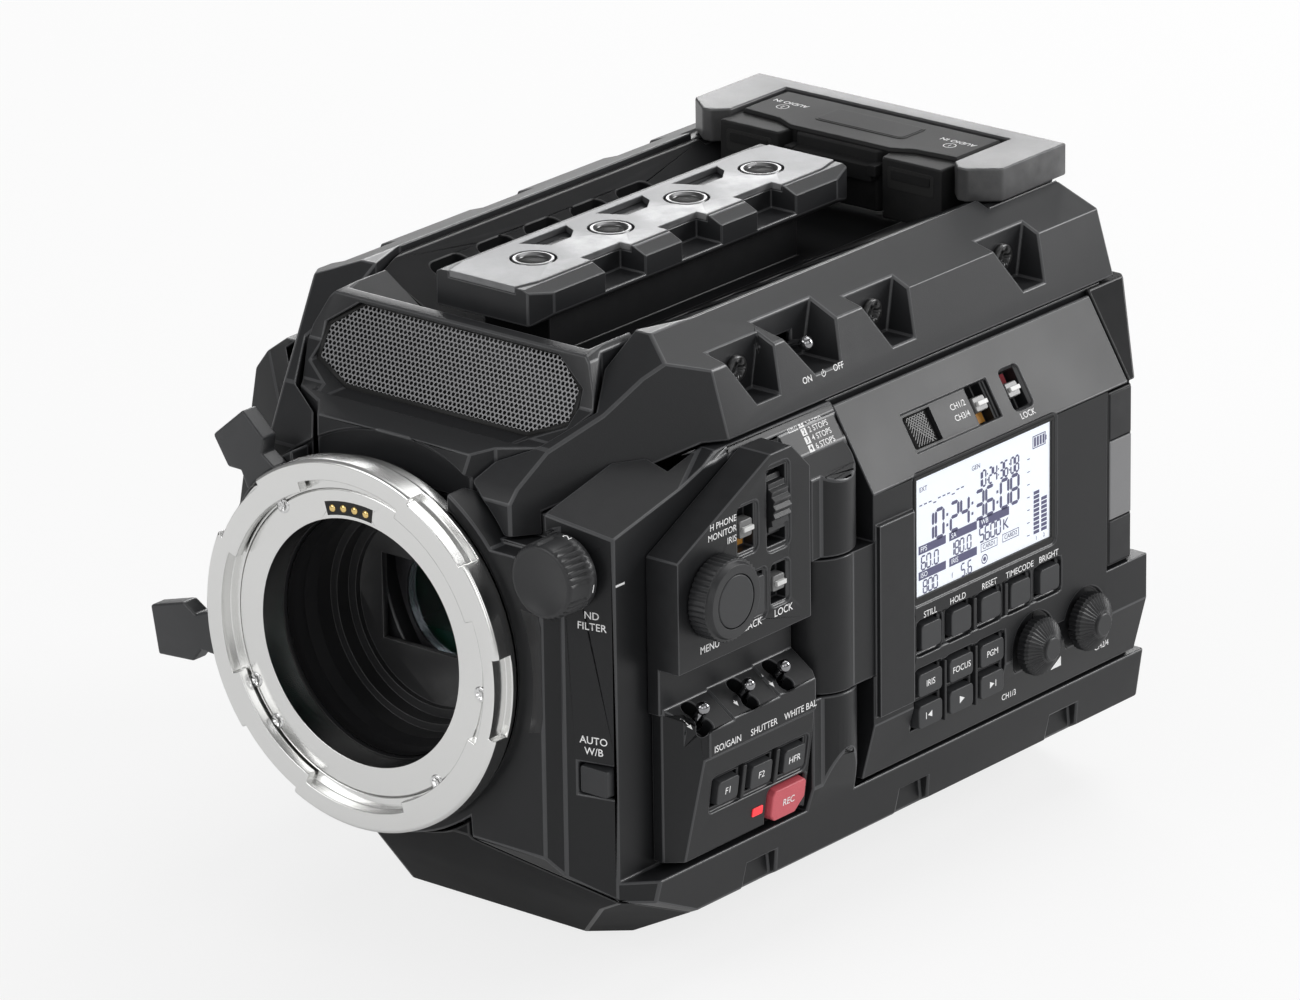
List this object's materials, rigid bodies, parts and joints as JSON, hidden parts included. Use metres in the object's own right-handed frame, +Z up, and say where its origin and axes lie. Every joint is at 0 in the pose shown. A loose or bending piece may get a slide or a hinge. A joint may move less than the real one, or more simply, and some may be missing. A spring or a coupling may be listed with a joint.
{
  "type": "digital cinema camera",
  "caption": "Digital cinema camera with lens lock ring, filter turret, vented top with threaded rail, control panel, stepped toggle shelf and fold-out side door with display",
  "frame": {"origin": "mouth of the tripod socket in the foot plate, straight under the lens axis", "axes": "-Y is where the lens looks, +X is the operator's side with the door, +Z is up"},
  "size_m": [0.1457, 0.206, 0.1406],
  "materials": {
    "body_paint": "satin, slightly rough dark grey paint",
    "cover_paint": "fine-textured grey paint",
    "dark_paint": "matte black paint",
    "grille_metal": "black perforated sheet",
    "bright_rail": "fine brushed, bare",
    "insert_steel": "turned",
    "mount_steel": "turned and polished",
    "throat_black": "black, anti-reflective",
    "lever_black": "satin black",
    "knob_plastic": "matte, knurled",
    "key_plastic": "matte",
    "record_red": "matte red",
    "switch_white": "satin white",
    "toggle_chrome": "polished",
    "display_lit": "backlit segment display",
    "screen_black": "glossy black",
    "audio_metal": "bead-blasted, bare",
    "audio_rubber": "matte",
    "gear_brass": "machined",
    "turret_dark": "black anodised",
    "filter_glass": "coated optical glass",
    "board_green": "circuit board",
    "sink_metal": "extruded",
    "fan_black": "matte"
  },
  "bodies": {
    "camera_body": {"main_housing": "body_paint", "top_cover": "cover_paint", "front_panel": "cover_paint", "top_tray": "dark_paint", "front_grille": "grille_metal", "control_panel": "body_paint", "hinge_pin": "insert_steel", "base_cover": "dark_paint", "foot_plate": "dark_paint", "rear_cover": "dark_paint", "audio_block": "audio_metal", "audio_cover": "audio_rubber", "top_rail": "dark_paint", "rail_plate": "bright_rail", "rail_inserts": "insert_steel", "lens_flange": "mount_steel", "throat_tube": "throat_black", "sensor_module": "board_green", "heat_sink": "sink_metal", "main_board": "board_green"},
    "ring": {"lock_ring": "mount_steel", "lock_levers": "lever_black"},
    "filter_knob": {"nd_knob": "knob_plastic"},
    "idler_gear": {"nd_idler": "gear_brass"},
    "turret": {"nd_turret": "turret_dark", "nd_filters": "filter_glass"},
    "fan": {"fan_rotor": "fan_black"},
    "side_door": {"door": "body_paint", "door_display": "display_lit", "door_screen": "screen_black"},
    "b_menu_dial": {"menu_dial": "knob_plastic"},
    "b_menu_button": {"menu_button": "key_plastic"},
    "b_back_button": {"back_button": "key_plastic"},
    "b_gain_wheel": {"gain_wheel": "knob_plastic"},
    "b_mode_slider": {"mode_slider": "switch_white"},
    "b_panel_lock": {"panel_lock": "switch_white"},
    "b_toggle_gain": {"toggle_gain": "toggle_chrome"},
    "b_toggle_shutter": {"toggle_shutter": "toggle_chrome"},
    "b_toggle_white": {"toggle_white": "toggle_chrome"},
    "b_power_toggle": {"power_toggle": "toggle_chrome"},
    "b_key_one": {"key_one": "key_plastic"},
    "b_key_two": {"key_two": "key_plastic"},
    "b_key_rate": {"key_rate": "key_plastic"},
    "b_record_key": {"record_key": "record_red"},
    "b_balance_key": {"balance_key": "key_plastic"},
    "b_key_still": {"key_still": "key_plastic"},
    "b_key_hold": {"key_hold": "key_plastic"},
    "b_key_reset": {"key_reset": "key_plastic"},
    "b_key_timecode": {"key_timecode": "key_plastic"},
    "b_key_bright": {"key_bright": "key_plastic"},
    "b_key_iris": {"key_iris": "key_plastic"},
    "b_key_focus": {"key_focus": "key_plastic"},
    "b_key_program": {"key_program": "key_plastic"},
    "b_key_previous": {"key_previous": "key_plastic"},
    "b_key_play": {"key_play": "key_plastic"},
    "b_key_next": {"key_next": "key_plastic"},
    "b_level_knob_front": {"level_knob_front": "knob_plastic"},
    "b_level_knob_rear": {"level_knob_rear": "knob_plastic"},
    "b_channel_slider": {"channel_slider": "switch_white"},
    "b_door_lock": {"door_lock": "switch_white"}
  },
  "joints": [
    {"name": "ring_turn", "type": "hinge", "parent": "camera_body", "child": "ring", "pos_m": [0, -0.0946, 0.071], "axis": [0, 1, 0], "range_deg": [0, 50]},
    {"name": "turret_turn", "type": "hinge", "parent": "camera_body", "child": "turret", "pos_m": [0.01876, -0.063, 0.08044], "axis": [0, 1, 0], "continuous": true},
    {"name": "idler_turn", "type": "hinge", "parent": "camera_body", "child": "idler_gear", "pos_m": [0.03451, -0.067, 0.08836], "axis": [0, 1, 0], "continuous": true},
    {"name": "filter_knob_turn", "type": "hinge", "parent": "camera_body", "child": "filter_knob", "pos_m": [0.05025, -0.09, 0.09627], "axis": [0, 1, 0], "continuous": true},
    {"name": "fan_spin", "type": "hinge", "parent": "camera_body", "child": "fan", "pos_m": [0, 0.022, 0.104], "axis": [0, 0, 1], "continuous": true},
    {"name": "door_hinge", "type": "hinge", "parent": "camera_body", "child": "side_door", "pos_m": [0.062, -0.021, 0.0695], "axis": [0, 0, -1], "range_deg": [0, 100]},
    {"name": "dial_turn", "type": "hinge", "parent": "camera_body", "child": "b_menu_dial", "pos_m": [0.0718, -0.0628, 0.0878], "axis": [1, 0, 0], "continuous": true},
    {"name": "menu_press", "type": "slide", "parent": "b_menu_dial", "child": "b_menu_button", "axis": [-1, 0, 0], "range_m": [0, 0.0007], "stiffness_N_per_m": 500},
    {"name": "back_press", "type": "slide", "parent": "camera_body", "child": "b_back_button", "axis": [-1, 0, 0], "range_m": [0, 0.0007], "stiffness_N_per_m": 500},
    {"name": "gain_wheel_turn", "type": "hinge", "parent": "camera_body", "child": "b_gain_wheel", "pos_m": [0.0621, -0.0415, 0.101], "axis": [0, 1, 0], "continuous": true},
    {"name": "mode_slide", "type": "slide", "parent": "camera_body", "child": "b_mode_slider", "axis": [0, 0, 1], "range_m": [-0.0023, 0.0023]},
    {"name": "panel_lock_slide", "type": "slide", "parent": "camera_body", "child": "b_panel_lock", "axis": [0, 0, 1], "range_m": [-0.0019, 0.0019]},
    {"name": "toggle_gain_swing", "type": "hinge", "parent": "camera_body", "child": "b_toggle_gain", "pos_m": [0.06535, -0.0667, 0.05957], "axis": [0, 1, 0], "range_deg": [-12, 12], "stiffness_Nm_per_rad": 0.02},
    {"name": "toggle_shutter_swing", "type": "hinge", "parent": "camera_body", "child": "b_toggle_shutter", "pos_m": [0.06535, -0.0518, 0.06007], "axis": [0, 1, 0], "range_deg": [-12, 12], "stiffness_Nm_per_rad": 0.02},
    {"name": "toggle_white_swing", "type": "hinge", "parent": "camera_body", "child": "b_toggle_white", "pos_m": [0.06535, -0.0401, 0.06057], "axis": [0, 1, 0], "range_deg": [-12, 12], "stiffness_Nm_per_rad": 0.02},
    {"name": "power_swing", "type": "hinge", "parent": "camera_body", "child": "b_power_toggle", "pos_m": [0.045, -0.012, 0.1225], "axis": [0, 1, 0], "range_deg": [0, 26]},
    {"name": "key_one_press", "type": "slide", "parent": "camera_body", "child": "b_key_one", "axis": [-0.99, 0, 0.1408], "range_m": [0, 0.0007], "stiffness_N_per_m": 500},
    {"name": "key_two_press", "type": "slide", "parent": "camera_body", "child": "b_key_two", "axis": [-0.99, 0, 0.1408], "range_m": [0, 0.0007], "stiffness_N_per_m": 500},
    {"name": "key_rate_press", "type": "slide", "parent": "camera_body", "child": "b_key_rate", "axis": [-0.99, 0, 0.1408], "range_m": [0, 0.0007], "stiffness_N_per_m": 500},
    {"name": "record_key_press", "type": "slide", "parent": "camera_body", "child": "b_record_key", "axis": [-0.99, 0, 0.1408], "range_m": [0, 0.0007], "stiffness_N_per_m": 500},
    {"name": "balance_press", "type": "slide", "parent": "camera_body", "child": "b_balance_key", "axis": [0, 1, 0], "range_m": [0, 0.0007], "stiffness_N_per_m": 500},
    {"name": "key_still_press", "type": "slide", "parent": "side_door", "child": "b_key_still", "axis": [-1, 0, 0], "range_m": [0, 0.0007], "stiffness_N_per_m": 500},
    {"name": "key_hold_press", "type": "slide", "parent": "side_door", "child": "b_key_hold", "axis": [-1, 0, 0], "range_m": [0, 0.0007], "stiffness_N_per_m": 500},
    {"name": "key_reset_press", "type": "slide", "parent": "side_door", "child": "b_key_reset", "axis": [-1, 0, 0], "range_m": [0, 0.0007], "stiffness_N_per_m": 500},
    {"name": "key_timecode_press", "type": "slide", "parent": "side_door", "child": "b_key_timecode", "axis": [-1, 0, 0], "range_m": [0, 0.0007], "stiffness_N_per_m": 500},
    {"name": "key_bright_press", "type": "slide", "parent": "side_door", "child": "b_key_bright", "axis": [-1, 0, 0], "range_m": [0, 0.0007], "stiffness_N_per_m": 500},
    {"name": "key_iris_press", "type": "slide", "parent": "side_door", "child": "b_key_iris", "axis": [-1, 0, 0], "range_m": [0, 0.0007], "stiffness_N_per_m": 500},
    {"name": "key_focus_press", "type": "slide", "parent": "side_door", "child": "b_key_focus", "axis": [-1, 0, 0], "range_m": [0, 0.0007], "stiffness_N_per_m": 500},
    {"name": "key_program_press", "type": "slide", "parent": "side_door", "child": "b_key_program", "axis": [-1, 0, 0], "range_m": [0, 0.0007], "stiffness_N_per_m": 500},
    {"name": "key_previous_press", "type": "slide", "parent": "side_door", "child": "b_key_previous", "axis": [-1, 0, 0], "range_m": [0, 0.0007], "stiffness_N_per_m": 500},
    {"name": "key_play_press", "type": "slide", "parent": "side_door", "child": "b_key_play", "axis": [-1, 0, 0], "range_m": [0, 0.0007], "stiffness_N_per_m": 500},
    {"name": "key_next_press", "type": "slide", "parent": "side_door", "child": "b_key_next", "axis": [-1, 0, 0], "range_m": [0, 0.0007], "stiffness_N_per_m": 500},
    {"name": "level_knob_front_turn", "type": "hinge", "parent": "side_door", "child": "b_level_knob_front", "pos_m": [0.07, 0.044, 0.0446], "axis": [1, 0, 0], "range_deg": [-150, 150]},
    {"name": "level_knob_rear_turn", "type": "hinge", "parent": "side_door", "child": "b_level_knob_rear", "pos_m": [0.07, 0.0624, 0.0446], "axis": [1, 0, 0], "range_deg": [-150, 150]},
    {"name": "channel_slider_slide", "type": "slide", "parent": "side_door", "child": "b_channel_slider", "axis": [-0.5178, 0, 0.8555], "range_m": [-0.0022, 0.0022]},
    {"name": "door_lock_slide", "type": "slide", "parent": "side_door", "child": "b_door_lock", "axis": [-0.5178, 0, 0.8555], "range_m": [-0.0022, 0.0022]}
  ],
  "couplings": [
    {"joint": "idler_turn", "follows": "turret_turn", "ratio": -0.34286},
    {"joint": "filter_knob_turn", "follows": "turret_turn", "ratio": 1}
  ]
}
